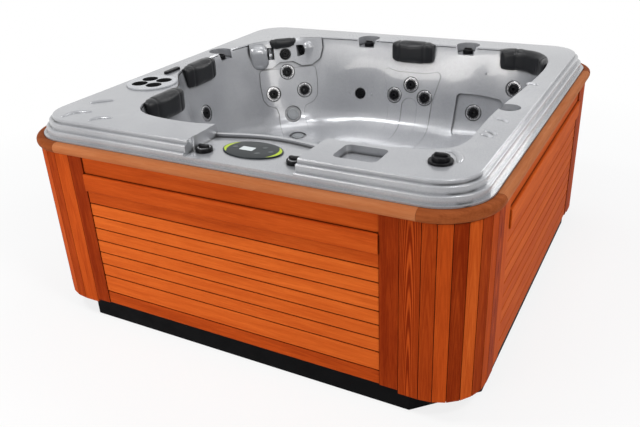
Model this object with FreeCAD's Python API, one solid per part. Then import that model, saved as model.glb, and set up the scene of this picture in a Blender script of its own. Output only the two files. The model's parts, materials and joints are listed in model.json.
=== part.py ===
import FreeCAD, Part
import math
import os

# Hot tub: a moulded shell with a stepped rim, set in a framed cedar cabinet.
# Millimetres, +Z up. The origin is the middle of the base on the ground.
# The front, with the controls, faces -Y, and the right side faces +X.

V = FreeCAD.Vector
UP = V(0, 0, 1)

# Moulded rim: a flat deck and three tiers that step down to a thin flange
deck_height = 937.0
lip_drop = 79.0
lip_half = 1000.0
lip_corner = 197.0
flange_thick = 6.0
tier_treads = (16.0, 16.0, 15.0)
upper_risers = (17.0, 27.0)
tier_round = 5.0
shell_wall = 7.0
lip_height = deck_height - lip_drop
deck_half = lip_half - sum(tier_treads)

# Widths of the deck between its outer edge and the bowl
right_deck = 120.0
back_deck = 163.0
left_deck = 118.0
filter_deck = 316.0
front_deck = 222.0
front_left_deck = 178.0

# Bowl
floor_height = 140.0
bowl_centre = (30.0, 20.0)
bowl_lead_in = 30.0
swell_depth = 40.0
swell_start = 15.0
swell_side = 140.0
swell_end = 270.0
chair = dict(recline=120.0, depth=330.0, height=425.0)
back_seat = dict(recline=95.0, depth=330.0, height=450.0)
right_seat = dict(recline=90.0, depth=340.0, height=455.0)
front_bench = dict(recline=60.0, depth=260.0, height=520.0)
left_seat = dict(recline=90.0, depth=320.0, height=450.0)

# Control ledge, a dip in the front deck
ledge_drop = 54.0
ledge_left = -150.0
ledge_right = 330.0
ledge_slant = 12.0
ledge_reach = 355.0
rib_width = 20.0
rib_height = 14.0
ledge_height = deck_height - ledge_drop
ledge_inner = ledge_reach - deck_half

# Neck collar: two cheeks beside the corner pillow
chair_inset = (263.0, 291.0)
cheek_offset = 158.0
cheek_width = 124.0
cheek_reach = 88.0
cheek_root = 120.0
cheek_height = 150.0
cheek_drop = 11.0
cheek_round = 48.0
cheek_turn = 8.0
chair_edge = (chair_inset[0] - deck_half, deck_half - chair_inset[1])
cheek_top = deck_height - cheek_drop

# Moulded dips in the deck: a tray on the front right, a hand hold on the right
tray_middle = (518.0, 125.0 - deck_half)
tray_size = (170.0, 130.0)
tray_depth = 32.0
tray_round = 24.0
hand_hold = (deck_half - 87.0, -150.0)
hand_hold_radius = 46.0
hand_hold_depth = 35.0
hand_hold_floor = deck_height - hand_hold_depth

# Raised plates moulded in the seat backs, as outlines on the wall: (across, up) from the top jet of each seat
plate_proud = 4.0
plate_round = 22.0
plate_depth = 160.0
chair_plate = ((168.0, 20.0), (172.0, -60.0), (164.0, -150.0), (140.0, -184.0), (86.0, -206.0),
               (76.0, -245.0), (80.0, -320.0), (84.0, -430.0))
back_plate = ((86.0, 66.0), (176.0, 88.0), (150.0, -10.0), (130.0, -90.0), (124.0, -190.0), (128.0, -330.0))
arch_half = 48.0
arch_top = -74.0
arch_foot = -640.0
arch_round = 47.0
collar_proud = 14.0
collar_plate = ((40.0, 60.0), (90.0, 30.0), (150.0, 30.0), (196.0, 60.0), (216.0, 120.0), (216.0, 240.0))
collar_round = 24.0

# Niche in the back wall beside the corner seat
niche_rise = 15.0
niche_drop = 247.0
niche_foot = right_seat["height"] + niche_rise
niche_top = deck_height - niche_drop
niche_outline = ((356.0, niche_foot), (366.0, niche_top), (480.0, niche_top), (610.0, niche_top - 14.0),
                 (640.0, niche_top - 80.0), (640.0, niche_foot))
niche_depth = 20.0
niche_round = 26.0

# Cabinet
rail_overhang = 36.0
rail_width = 95.0
rail_thick = 43.0
rail_round = 19.0
cladding_setback = 18.0
cladding_thick = 20.0
cladding_bottom = 101.0
stave_drop = 15.0
stave_corner = 200.0
stave_count = 6
board_gap = 1.6

# Framed slat panels
side_board = 78.0
stile_width = 72.0
raised_drop = 76.0
raised_height = 76.0
raised_proud = 8.0
top_board_setback = 6.0
slat_pitch = 59.4
slat_gap = 2.4
slat_setback = 3.0
slat_chamfer = 3.0
foot_board = 62.0
panel_clearance = 0.3
batten_width = 60.0
batten_thick = 18.0

# Base and frame
base_setback = 25.0
base_chamfer = 215.0
base_wall = 6.0
base_flange = 64.0
timber_thick = 38.0
timber_width = 62.0
top_plate_height = 70.0
support_size = 150.0
support_spread = 150.0
post_offset = 40.0
post_middle = 270.0

# Pillows
pillow_length = 250.0
back_pillow_length = 236.0
chair_pillow_length = 170.0
pillow_height = 112.0
chair_pillow_height = 62.0
pillow_thick = 56.0
pillow_rise = 10.0
pillow_round = 20.0
pillow_end_taper = 0.72
pillow_crown = 1.06
pillow_full_part = 0.72
pillow_gap = 0.4
front_pillow_y = -525.0
left_pillow_y = 5.0
back_pillow_x = 98.0
corner_pillow_middle = (deck_half - 285.0, deck_half - 363.0)
corner_pillow_radius = 214.0
corner_pillow_start = -8.0
corner_pillow_sweep = 122.0

# Filter
filter_centre = (151.0 - deck_half, -376.0)
filter_lid_radius = 120.0
filter_lid_flange = 8.0
lid_lift = 0.3
cup_count = 4
cup_radius = 38.0
cup_spread = 58.0
cup_turn = 48.0
cup_depth = 42.0
cup_floor = 6.0
filter_bore = 105.0
filter_clearance = 3.0
filter_wall = 5.0
filter_collar = 14.0
filter_depth = 390.0
throat_depth = 60.0
cartridge_clearance = 8.0
cartridge_radius = 76.0
cartridge_core = 26.0
cartridge_height = 300.0
pleat_count = 30
pleat_depth = 12.0

# Controls
control_x = 68.0
control_inset = 117.0
control_y = control_inset - deck_half
control_length = 254.0
control_width = 160.0
control_thick = 6.0
control_body = (190.0, 76.0, 44.0)
key_radius = 11.0
key_thick = 3.0
key_proud = 0.8
key_travel = 1.0
key_clearance = 0.4
key_places = ((-80.0, 0.0), (38.0, 30.0), (38.0, -30.0), (80.0, 0.0))
display_size = (58.0, 34.0)
display_x = -24.0
display_depth = 2.0

# Knobs
knob_gap = 0.5
knob_round = 0.25
grip_length = 1.5
grip_width = 0.5
grip_round = 0.45
grip_edge = 0.25
stem_radius = 7.0
stem_length = 30.0
stem_clearance = 0.4
air_knob_radius = 33.0
air_knob_height = 15.0
air_grip_height = 10.0
rim_grip_height = 8.0
air_scallop = 46.0
diverter_grip_height = 9.0
air_knob_places = ((-110.0, 48.0 - deck_half), (279.0, 73.0 - deck_half))
valve_radius = 19.0
valve_length = 85.0
valve_clearance = 1.0
rim_knob_radius = 27.0
rim_knob_height = 22.0
rim_scallop = 62.0
rim_depth = 45.0
rim_floor = deck_height - rim_depth
rim_knob_places = ((85.0 - deck_half, 285.0), (-195.0, deck_half - 129.0), (392.0, deck_half - 123.0))
diverter_place = (deck_half - 151.0, 153.0 - deck_half)
diverter_flange = 44.0
diverter_flange_thick = 9.0
diverter_knob_radius = 32.0
diverter_knob_height = 14.0
diverter_body_radius = 32.0
diverter_body_length = 130.0
waterfall_length = 112.0
waterfall_width = 26.0
waterfall_height = 11.0
waterfall_round = 11.8
waterfall_place = (101.0 - deck_half, -160.0)

# Jets: aim points near the bowl wall, where each jet seats square to the wall
pocket_depth = 7.0
wall_jet = dict(pocket=46.0, bezel=42.0, nozzle=25.0, stem=13.0, body=26.0, length=58.0, backing=0.0)
neck_jet = dict(pocket=35.0, bezel=31.0, nozzle=19.0, stem=9.0, body=19.0, length=44.0, backing=0.0)
collar_jet = dict(neck_jet, backing=collar_proud - pocket_depth)
bezel_thick = 7.0
bezel_round = 3.0
nozzle_clearance = 2.0
nozzle_thick = 9.0
nozzle_round = 2.5
nozzle_throat = 0.34
throat_taper = 0.7
nozzle_stem_length = 20.0
notch_count = 3
notch_radius = 0.15
notch_ring = 0.72
notch_depth = 4.0
jet_hole_clearance = 1.0
jet_nut_margin = 10.0
jet_nut_thick = 9.0
seat_gap = 0.3
jet_points = {
    "chair_top": (303.0 - deck_half, deck_half - 323.0, deck_height - 189.0),
    "chair_left": (265.0 - deck_half, deck_half - 429.0, deck_height - 300.0),
    "chair_right": (404.0 - deck_half, deck_half - 297.0, deck_height - 296.0),
    "back_top": (98.0, deck_half - 208.0, deck_height - 226.0),
    "back_left": (2.0, deck_half - 221.0, deck_height - 292.0),
    "back_right": (184.0, deck_half - 213.0, deck_height - 293.0),
    "left_wall": (172.0 - deck_half, -8.0, deck_height - 262.0),
    "right_corner": (deck_half - 281.0, deck_half - 200.0, deck_height - 197.0),
}
right_wall_point = (462.0, deck_half - 222.0, deck_height - 352.0)
neck_middle_point = (293.0 - deck_half, deck_half - 316.0, deck_height - 85.0)
neck_jet_inward = 40.0
neck_jet_up = 16.0
disc_points = ((365.0 - deck_half, deck_half - 383.0, chair["height"] + 87.0),
               (460.0 - deck_half, deck_half - 500.0, chair["height"] + 1.0))
disc_radius = 34.0
disc_pocket = 50.0
disc_thick = 10.0
disc_ring = 24.5
disc_groove = 3.0
disc_stem = 18.0
disc_stem_length = 50.0
suction_point = (-213.0, deck_half - 218.0, deck_height - 305.0)
suction_radius = 30.0
suction_pocket = 34.0
slot_count = 5
slot_width = 4.0
slot_reach = 0.7
floor_suction = (20.0, -150.0)

# Equipment behind the access panel
equipment_setback = 228.0
pump_x = -330.0
pump_axis_height = 98.0
motor_radius = 78.0
motor_length = 300.0
motor_ribs = 9
motor_foot = (200.0, 78.0)
rib_step = 5.0
wet_end_radius = 88.0
wet_end_length = 130.0
box_size = (300.0, 130.0, 240.0)
box_x = 330.0
box_round = 12.0
heater_radius = 32.0
heater_length = 420.0
heater_nut = 21.0
pipe_radius = 24.0
union_radius = 30.0
port_radius = 8.0
port_length = 48.0
riser_offset = 72.0
manifold_top = 640.0
manifold_ports = 4

# Sizes that follow
riser_sum = sum(upper_risers)
rail_half = lip_half + rail_overhang
rail_corner = lip_corner + rail_overhang
rail_bottom = lip_height - rail_thick
clad_half = rail_half - cladding_setback
frame_half = clad_half - cladding_thick
panel_half = clad_half - stave_corner - side_board
post_reach = panel_half + post_offset
base_half = clad_half - base_setback
base_height = cladding_bottom - panel_clearance
panel_top = rail_bottom - panel_clearance
raised_top = rail_bottom - raised_drop
slat_field = raised_top - raised_height - cladding_bottom - 2 * foot_board
slat_count = int(slat_field / slat_pitch)
top_plate_bottom = rail_bottom - top_plate_height
suction_under = floor_height - pocket_depth - shell_wall
pump_place = (pump_x, equipment_setback - clad_half)
box_place = (box_x, equipment_setback - clad_half)

os.makedirs("parts", exist_ok=True)


def save(name, solids):
    """Write one node, a solid or a group of solids."""
    shape = Part.makeCompound(solids) if isinstance(solids, list) else solids
    shape.exportStep("parts/" + name + ".step")


def box(x0, x1, y0, y1, z0, z1):
    return Part.makeBox(x1 - x0, y1 - y0, z1 - z0, V(x0, y0, z0))


def post(radius, z0, z1, x=0.0, y=0.0):
    return Part.makeCylinder(radius, z1 - z0, V(x, y, z0))


def prism(points, z0, z1):
    """Upright prism on a closed outline of straight runs."""
    corners = [V(x, y, z0) for x, y in points]
    return Part.Face(Part.makePolygon(corners + corners[:1])).extrude(UP * (z1 - z0))


def square_wire(half, corner, z):
    """Square outline with round corners."""
    run = half - corner
    edges = []
    for turn in range(4):
        spin = FreeCAD.Rotation(UP, 90 * turn)
        a, b, c = (spin.multVec(V(x, y, z)) for x, y in ((half, -run), (half, run), (run, half)))
        bulge = spin.multVec(V(run + corner * math.sqrt(0.5), run + corner * math.sqrt(0.5), z))
        edges += [Part.LineSegment(a, b).toShape(), Part.Arc(b, bulge, c).toShape()]
    return Part.Wire(edges)


def square_plate(half, corner, z0, z1):
    return Part.Face(square_wire(half, corner, z0)).extrude(UP * (z1 - z0))


def turned(shape, quarter):
    """Copy turned about the middle of the tub by quarter turns."""
    copy = shape.copy()
    copy.rotate(V(0, 0, 0), UP, 90 * quarter)
    return copy


def along(shape, point, normal):
    """Copy built on +Z and set down at a point, facing along a normal."""
    copy = shape.copy()
    copy.Placement = FreeCAD.Placement(V(point), FreeCAD.Rotation(UP, V(normal)))
    return copy


def rim_tiers(skin):
    """Deck and tiers as nested plates; skin moves every face inwards by that much."""
    tops = (deck_height, deck_height - upper_risers[0], deck_height - riser_sum)
    half = deck_half
    plates = []
    for top, tread in zip(tops, tier_treads):
        corner = lip_corner - (lip_half - half) - skin
        plate = square_plate(half - skin, corner, lip_height - skin, top - skin)
        edges = [e for e in plate.Edges if abs(e.BoundBox.ZMin - (top - skin)) < 0.01
                 and e.BoundBox.ZLength < 0.01]
        plates.append(plate.makeFillet(tier_round, edges))
        half += tread
    return plates[0].multiFuse(plates[1:])


def bowl_columns():
    """Plan points round the bowl's edge, each with the seat that lies below it."""
    right = deck_half - right_deck
    back = deck_half - back_deck
    left = -deck_half + left_deck
    filt = -deck_half + filter_deck
    front = -deck_half + front_deck
    front_left = -deck_half + front_left_deck
    swell = front + swell_depth
    chair_x, chair_y = chair_edge
    return [
        (control_x - swell_start, swell, front_bench), (control_x + swell_side, swell - 12, front_bench),
        (control_x + swell_end, front - 4, front_bench), (480, front - 4, front_bench),
        (right - 193, front + 6, front_bench), (right - 60, front + 42, front_bench),
        (right - 6, front + 135, right_seat), (right - 12, front + 281, right_seat),
        (right - 18, -250, right_seat), (right, -60, right_seat), (right + 20, 150, right_seat),
        (right + 32, 350, right_seat), (right + 36, back - 270, right_seat),
        (right + 10, back - 110, right_seat),
        (right - 73, back - 15, right_seat), (right - 233, back + 10, right_seat), (440, back, back_seat),
        (270, back, back_seat), (90, back, back_seat), (-90, back, back_seat), (-260, back - 5, back_seat),
        (chair_x + 260, back - 15, chair), (chair_x + 125, back - 48, chair),
        (chair_x + 36, chair_y - 4, chair),
        (left + 72, chair_y - 97, chair), (left + 22, chair_y - 232, chair), (left, 280, left_seat),
        (left, 100, left_seat), (left, -60, left_seat), (left + 38, -190, left_seat),
        (filt - 50, -300, left_seat), (filt + 2, -400, left_seat), (filt + 2, -540, left_seat),
        (filt + 8, front_left + 115, left_seat), (filt + 92, front_left + 22, left_seat),
        (filt + 237, front_left + 4, front_bench), (-250, front_left - 2, front_bench),
        (-110, front_left + 38, front_bench),
    ]


def bowl_profile(seat, reach, skin):
    """Inward distance and height down one column, from the deck to the floor."""
    drop = deck_height - seat["height"]
    back = seat["recline"]
    front = back + seat["depth"]
    line = [
        (-bowl_lead_in, deck_height + bowl_lead_in), (-3, deck_height + 2), (4, deck_height - 36),
        (0.35 * back, deck_height - 0.35 * drop), (0.8 * back, deck_height - 0.75 * drop),
        (back + 12, seat["height"] + 16), (back + 0.5 * seat["depth"], seat["height"] - 6),
        (front - 24, seat["height"] + 8), (front + 26, seat["height"] - 44), (front + 48, floor_height + 92),
        (front + 78, floor_height), (front + 0.45 * (reach - front), floor_height),
    ]
    if not skin:
        return line
    moved = []
    for i in range(2, len(line)):
        before = line[i - 1]
        after = line[min(i + 1, len(line) - 1)]
        run = math.hypot(after[0] - before[0], after[1] - before[1])
        moved.append((line[i][0] + skin * (after[1] - before[1]) / run,
                      line[i][1] - skin * (after[0] - before[0]) / run))
    return [(moved[0][0], deck_height - skin / 2)] + moved


def bowl_surface(skin):
    """One smooth surface through the columns, closed round the bowl."""
    poles = []
    for x, y, seat in bowl_columns():
        reach = math.hypot(bowl_centre[0] - x, bowl_centre[1] - y)
        way = ((bowl_centre[0] - x) / reach, (bowl_centre[1] - y) / reach)
        poles.append([V(x + way[0] * d, y + way[1] * d, z) for d, z in bowl_profile(seat, reach, skin)])
    rows = len(poles[0])
    surface = Part.BSplineSurface()
    surface.buildFromPolesMultsKnots(
        poles, [1] * (len(poles) + 1), [4] + [1] * (rows - 4) + [4],
        list(range(len(poles) + 1)), list(range(rows - 2)), True, False, 3, 3)
    return surface


def bowl_solid(surface):
    """Solid inside a bowl surface, with flat caps at its top and bottom."""
    wall = surface.toShape()
    caps = [Part.Face(Part.Wire([e])) for e in wall.Edges if e.isClosed()]
    skin = Part.makeShell([wall] + caps)
    skin.sewShape()
    return Part.makeSolid(skin)


def wall_seat(surface, aim):
    """Point of the wall nearest to an aim point, and the normal there that faces the bowl."""
    u, v = surface.parameter(V(*aim))
    point = surface.value(u, v)
    normal = surface.normal(u, v)
    inward = V(bowl_centre[0], bowl_centre[1], deck_height) - point
    return point, normal if normal.dot(inward) > 0 else normal * -1


def pocket(seat, radius, depth):
    """Flat-floored pocket in the wall, open to the bowl."""
    return along(Part.makeCylinder(radius, depth + radius, V(0, 0, -depth)), *seat)


def pocket_back(seat, radius, depth):
    """Back of the same pocket, one wall thicker all round."""
    thick = depth + shell_wall
    return along(Part.makeCylinder(radius + shell_wall, thick, V(0, 0, -thick)), *seat)


def bore(seat, radius, depth, start=0.0):
    """Hole through the wall behind a pocket, or behind the wall where it starts deeper."""
    return along(Part.makeCylinder(radius, depth, V(0, 0, -start - depth)), *seat)


# Directions of the corner chair: out towards the corner, and sideways along its back
chair_out = (V(*chair_edge, 0) - V(*bowl_centre, 0)).normalize()
chair_side = chair_out.cross(UP)
chair_angle = math.degrees(math.atan2(chair_side.y, chair_side.x))


def cheek_place(side):
    middle = V(*chair_edge, cheek_top - cheek_height / 2) + chair_side * (side * cheek_offset)
    return FreeCAD.Placement(middle, FreeCAD.Rotation(UP, chair_angle + side * cheek_turn))


def cheek(side, skin):
    """Rounded bolster beside the neck, moulded in the wall."""
    width = cheek_width - 2 * skin
    height = cheek_height - 2 * skin
    reach = cheek_reach - skin
    block = Part.makeBox(width, reach + cheek_root, height, V(-width / 2, -reach, -height / 2))
    block = block.makeFillet(cheek_round - skin, block.Edges)
    block.Placement = cheek_place(side).multiply(block.Placement)
    return block


def neck_seat(side):
    """Seat of the jet in the inner face of a cheek."""
    place = cheek_place(side)
    point = place.multVec(V(-side * cheek_width / 2, -neck_jet_inward, neck_jet_up))
    return point, place.Rotation.multVec(V(-side, 0, 0))


def wall_frame(seat):
    """Placement on the wall: X across it, Y up it, Z out of it towards the bowl."""
    point, normal = seat
    across = UP.cross(normal)
    return FreeCAD.Placement(point, FreeCAD.Rotation(across, normal.cross(across), normal, "ZXY"))


def plate_block(outline, radius, seat):
    """Prism through the wall on an outline, with its corners rounded."""
    block = prism(outline, -plate_depth, 2 * plate_depth)
    uprights = [e for e in block.Edges if e.BoundBox.ZLength > plate_depth]
    block = block.makeFillet(radius, uprights)
    block.Placement = wall_frame(seat)
    return block


def both_sides(half):
    """Closed outline from its right half, drawn from the top down."""
    return list(half) + [(-x, y) for x, y in reversed(half)]


def raised(block, seat, proud, core, room):
    """Part of a block that stands proud of the wall and follows its curve."""
    clear = room.copy()
    clear.translate(seat[1] * proud)
    return block.common(core).cut(clear)


def niche_block(grow, body):
    """Part of a solid that the niche reaches when it is pushed back into the wall."""
    x_middle = sum(x for x, z in niche_outline) / len(niche_outline)
    z_middle = sum(z for x, z in niche_outline) / len(niche_outline)
    corners = [V(x + math.copysign(grow, x - x_middle), 0, z + math.copysign(grow, z - z_middle))
               for x, z in niche_outline]
    block = Part.Face(Part.makePolygon(corners + corners[:1])).extrude(V(0, deck_half, 0))
    block = block.makeFillet(niche_round + grow, [e for e in block.Edges if e.BoundBox.YLength > 1])
    pushed = body.copy()
    pushed.translate(V(0, niche_depth, 0))
    return block.common(pushed)


def sunk(seat, depth):
    """Seat moved down to the floor of its pocket."""
    point, normal = seat
    return point - normal * depth, normal


# Seats of everything that is let into the bowl's wall
surface = bowl_surface(0)
jet_seats = {}
for name, aim in jet_points.items():
    on_plate = name.startswith(("chair", "back"))
    jet_seats[name] = (sunk(wall_seat(surface, aim), -plate_proud if on_plate else 0), wall_jet)
low_point, low_normal = wall_seat(surface, right_wall_point)
jet_seats["right_wall"] = ((low_point + V(0, niche_depth, 0), low_normal), wall_jet)
jet_seats["neck_middle"] = (sunk(wall_seat(surface, neck_middle_point), -collar_proud), collar_jet)
jet_seats["neck_left"] = (neck_seat(-1), neck_jet)
jet_seats["neck_right"] = (neck_seat(1), neck_jet)
disc_seats = [wall_seat(surface, aim) for aim in disc_points]
suction_seats = [wall_seat(surface, suction_point), (V(*floor_suction, floor_height), UP)]


# Shell: thin bowl under a thin stepped rim, with pockets, dips and holes
def ledge_block(grow, z0, z1):
    """Room of the control ledge, open at the front lip and towards the bowl."""
    block = prism([(ledge_left - grow, -lip_half - grow), (ledge_right + grow, -lip_half - grow),
                   (ledge_right + ledge_slant + grow, ledge_inner),
                   (ledge_left - ledge_slant - grow, ledge_inner)], z0, z1)
    return block.fuse([post(air_scallop + grow, z0, z1, *place) for place in air_knob_places])


def round_box(middle, size, radius, z0, z1):
    block = box(middle[0] - size[0] / 2, middle[0] + size[0] / 2,
                middle[1] - size[1] / 2, middle[1] + size[1] / 2, z0, z1)
    uprights = [e for e in block.Edges if e.BoundBox.ZLength > 1]
    return block.makeFillet(radius, uprights)


def make_shell():
    room = bowl_solid(surface)
    core = bowl_solid(bowl_surface(shell_wall / 2))
    void = room.cut([cheek(side, 0) for side in (-1, 1)])
    skin = bowl_solid(bowl_surface(shell_wall)).cut([cheek(side, shell_wall) for side in (-1, 1)])
    pockets = [niche_block(0, room)]
    backs = [niche_block(shell_wall, skin)]
    holes = []
    for seat, size in jet_seats.values():
        pockets.append(pocket(seat, size["pocket"], pocket_depth))
        backs.append(pocket_back(seat, size["pocket"], pocket_depth))
        holes.append(bore(seat, size["body"] + jet_hole_clearance, size["length"]))
        holes.append(bore(seat, size["body"] + jet_nut_margin + jet_hole_clearance, size["length"],
                          pocket_depth + shell_wall + size["backing"]))
    for seat in disc_seats:
        pockets.append(pocket(seat, disc_pocket, pocket_depth))
        backs.append(pocket_back(seat, disc_pocket, pocket_depth))
        holes.append(bore(seat, disc_stem + jet_hole_clearance, disc_stem_length))
    for seat in suction_seats:
        pockets.append(pocket(seat, suction_pocket, pocket_depth))
        backs.append(pocket_back(seat, suction_pocket, pocket_depth))
        holes.append(bore(seat, disc_stem + jet_hole_clearance, disc_stem_length))
    under_deck = deck_height - shell_wall / 2
    dips = [(place, rim_scallop, rim_floor) for place in rim_knob_places]
    dips.append((hand_hold, hand_hold_radius, hand_hold_floor))
    for place, radius, floor in dips:
        pockets.append(post(radius, floor, deck_height + bowl_lead_in, *place))
        backs.append(post(radius + shell_wall, floor - shell_wall, under_deck, *place))
    tray_floor = deck_height - tray_depth
    tray_back = [size + 2 * shell_wall for size in tray_size]
    pockets.append(round_box(tray_middle, tray_size, tray_round, tray_floor, deck_height + tray_depth))
    backs.append(round_box(tray_middle, tray_back, tray_round + shell_wall,
                           tray_floor - shell_wall, under_deck))

    tiers = rim_tiers(0)
    flange = square_plate(lip_half, lip_corner, lip_height, lip_height + flange_thick)
    flange_hole = tier_treads[-1] + shell_wall
    flange = flange.cut(square_plate(lip_half - flange_hole, lip_corner - flange_hole,
                                     lip_height - flange_thick, lip_height + 2 * flange_thick))
    ledge_under = ledge_height - shell_wall
    ledge_plate = ledge_block(shell_wall, ledge_under, ledge_height).common(tiers)
    ledge_ends = ledge_block(shell_wall, ledge_under, deck_height)
    ledge_ends = ledge_ends.cut(ledge_block(0, ledge_under, deck_height))
    rib = bowl_solid(bowl_surface(rib_width)).common(ledge_block(0, ledge_under, ledge_height + rib_height))

    shell = tiers.cut(rim_tiers(shell_wall)).multiFuse([flange, skin] + backs)
    shell = shell.cut(ledge_block(0, ledge_height, 2 * deck_height))
    shell = shell.multiFuse([ledge_plate, ledge_ends.common(tiers), rib])
    for place in air_knob_places:
        holes.append(post(valve_radius + valve_clearance, lip_height, deck_height, *place))
    for place in rim_knob_places:
        holes.append(post(valve_radius + valve_clearance, rim_floor - 2 * shell_wall, deck_height, *place))
    holes.append(post(diverter_body_radius + valve_clearance, lip_height, 2 * deck_height, *diverter_place))
    holes.append(post(filter_bore, lip_height, 2 * deck_height, *filter_centre))
    length, width, depth = (size + 2 * valve_clearance for size in control_body)
    holes.append(box(control_x - length / 2, control_x + length / 2,
                     control_y - width / 2, control_y + width / 2, ledge_height - depth, deck_height))
    chair_seat = jet_seats["chair_top"][0]
    back_seat_top = jet_seats["back_top"][0]
    collar = plate_block(both_sides(collar_plate), collar_round, chair_seat)
    collar = raised(collar, chair_seat, collar_proud, core, room)
    collar = collar.cut([cheek(side, shell_wall) for side in (-1, 1)])
    shield = plate_block(both_sides(chair_plate), plate_round, chair_seat)
    shield = raised(shield, chair_seat, plate_proud, core, room)
    vase = plate_block(both_sides(back_plate), plate_round, back_seat_top)
    arch = box(-arch_half, arch_half, arch_foot, arch_top, -plate_depth, 2 * plate_depth)
    shoulders = [e for e in arch.Edges if e.BoundBox.ZLength > 1 and e.BoundBox.YMin > arch_foot]
    arch = arch.makeFillet(arch_round, shoulders)
    arch.Placement = wall_frame(back_seat_top)
    vase = raised(vase.cut(arch), back_seat_top, plate_proud, core, room)
    shell = shell.cut(void).multiFuse([collar, shield, vase])
    return shell.cut(pockets + holes)


# Fixed trim let into the wall
def disc_cover():
    """Flat round cover with a raised ring, on a stem through the wall."""
    cover = Part.makeCylinder(disc_radius, disc_thick)
    cover = cover.makeFillet(bezel_round, [e for e in cover.Edges if e.BoundBox.ZMin > disc_thick / 2])
    groove = Part.makeCylinder(disc_ring, disc_thick, V(0, 0, disc_thick - disc_groove))
    button = Part.makeCylinder(disc_ring - disc_groove, disc_thick)
    stem = Part.makeCylinder(disc_stem, disc_stem_length, V(0, 0, -disc_stem_length))
    return cover.cut(groove).fuse([button, stem])


def suction_cover():
    """Domed grille with straight slots, on a stem through the wall."""
    cover = Part.makeCylinder(suction_radius, disc_thick)
    cover = cover.makeFillet(2 * bezel_round, [e for e in cover.Edges if e.BoundBox.ZMin > disc_thick / 2])
    pitch = 2 * suction_radius / (slot_count + 1)
    for i in range(slot_count):
        y = (i + 1) * pitch - suction_radius
        half = math.sqrt(suction_radius ** 2 - y ** 2) * slot_reach
        slot = box(-half, half, y - slot_width / 2, y + slot_width / 2, disc_thick / 2, 2 * disc_thick)
        cover = cover.cut(slot)
    return cover.fuse(Part.makeCylinder(disc_stem, shell_wall, V(0, 0, -shell_wall)))


# Jets
def jet_bezel(size):
    disc = Part.makeCylinder(size["bezel"], bezel_thick)
    disc = disc.makeFillet(bezel_round, [e for e in disc.Edges if e.BoundBox.ZMin > bezel_thick / 2])
    return disc.cut(Part.makeCylinder(size["nozzle"] + nozzle_clearance, bezel_thick))


def jet_nozzle(size):
    """Turning face with a throat, finger notches and a stem."""
    radius = size["nozzle"]
    face = Part.makeCylinder(radius, nozzle_thick, V(0, 0, seat_gap))
    top = seat_gap + nozzle_thick
    face = face.makeFillet(nozzle_round, [e for e in face.Edges if e.BoundBox.ZMin > top / 2])
    stem = Part.makeCylinder(size["stem"], nozzle_stem_length + top / 2, V(0, 0, -nozzle_stem_length))
    throat = radius * nozzle_throat
    cuts = [Part.makeCone(throat * throat_taper, throat, nozzle_stem_length + top,
                          V(0, 0, -nozzle_stem_length))]
    for i in range(notch_count):
        angle = 2 * math.pi * i / notch_count
        spot = V(math.cos(angle), math.sin(angle), 0) * (radius * notch_ring)
        cuts.append(Part.makeCylinder(radius * notch_radius, notch_depth, spot + UP * (top - notch_depth)))
    return face.fuse(stem).cut(cuts)


def jet_body(size):
    """Barrel behind the wall, with the nut that clamps it there."""
    length = size["length"]
    nut_back = shell_wall + size["backing"] + jet_nut_thick
    barrel = Part.makeCylinder(size["body"], length, V(0, 0, -length))
    nut = Part.makeCylinder(size["body"] + jet_nut_margin, jet_nut_thick, V(0, 0, -nut_back))
    well = nozzle_stem_length + seat_gap
    return barrel.fuse(nut).cut(Part.makeCylinder(size["stem"] + stem_clearance, well, V(0, 0, -well)))


# Knobs and their valves, each drawn about its own axis with z = 0 at the face that it turns on
def knob(radius, height, grip_height):
    """Round knob with a bar grip across it, on a stem; the grip is sized from the knob's radius."""
    disc = Part.makeCylinder(radius, height, V(0, 0, knob_gap))
    top = knob_gap + height
    disc = disc.makeFillet(knob_round * height, [e for e in disc.Edges if e.BoundBox.ZMin > height / 2])
    width = grip_width * radius
    grip = round_box((0, 0), (grip_length * radius, width), grip_round * width, height / 2, top + grip_height)
    grip = grip.makeFillet(grip_edge * width, [e for e in grip.Edges if e.BoundBox.ZMin > top])
    return disc.fuse([grip, Part.makeCylinder(stem_radius, stem_length + height / 2, V(0, 0, -stem_length))])


def valve(radius, length):
    """Valve barrel hung in the shell by a nut below it."""
    barrel = Part.makeCylinder(radius, length, V(0, 0, -length))
    nut = Part.makeCylinder(radius + jet_nut_margin, jet_nut_thick, V(0, 0, -shell_wall - jet_nut_thick))
    well = stem_length + seat_gap
    return barrel.fuse(nut).cut(Part.makeCylinder(stem_radius + stem_clearance, well, V(0, 0, -well)))


def set_down(shape, place, height):
    copy = shape.copy()
    copy.translate(V(*place, height))
    return copy


# Pillows
def pillow(path, top, height, room, shift):
    """Crowned cushion lofted along a path of (point, inward way, share of the full section)."""
    wires = []
    for point, way, share in path:
        thick = pillow_thick * share
        tall = height * (1 + share) / 2
        r = pillow_round * share
        k = r * (1 - math.sqrt(0.5))
        z0 = top - height / 2 - tall / 2
        z1 = top - height / 2 + tall / 2
        corners = [(-pillow_thick, z0), (thick - r, z0), (thick - k, z0 + k), (thick, z0 + r),
                   (thick, z1 - r), (thick - k, z1 - k), (thick - r, z1), (-pillow_thick, z1)]
        p = [point + way * n + UP * z for n, z in corners]
        wires.append(Part.Wire([
            Part.LineSegment(p[0], p[1]).toShape(), Part.Arc(p[1], p[2], p[3]).toShape(),
            Part.LineSegment(p[3], p[4]).toShape(), Part.Arc(p[4], p[5], p[6]).toShape(),
            Part.LineSegment(p[6], p[7]).toShape(), Part.LineSegment(p[7], p[0]).toShape()]))
    clear = room.copy()
    clear.translate(shift)
    return Part.makeLoft(wires, True).common(clear)


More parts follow.
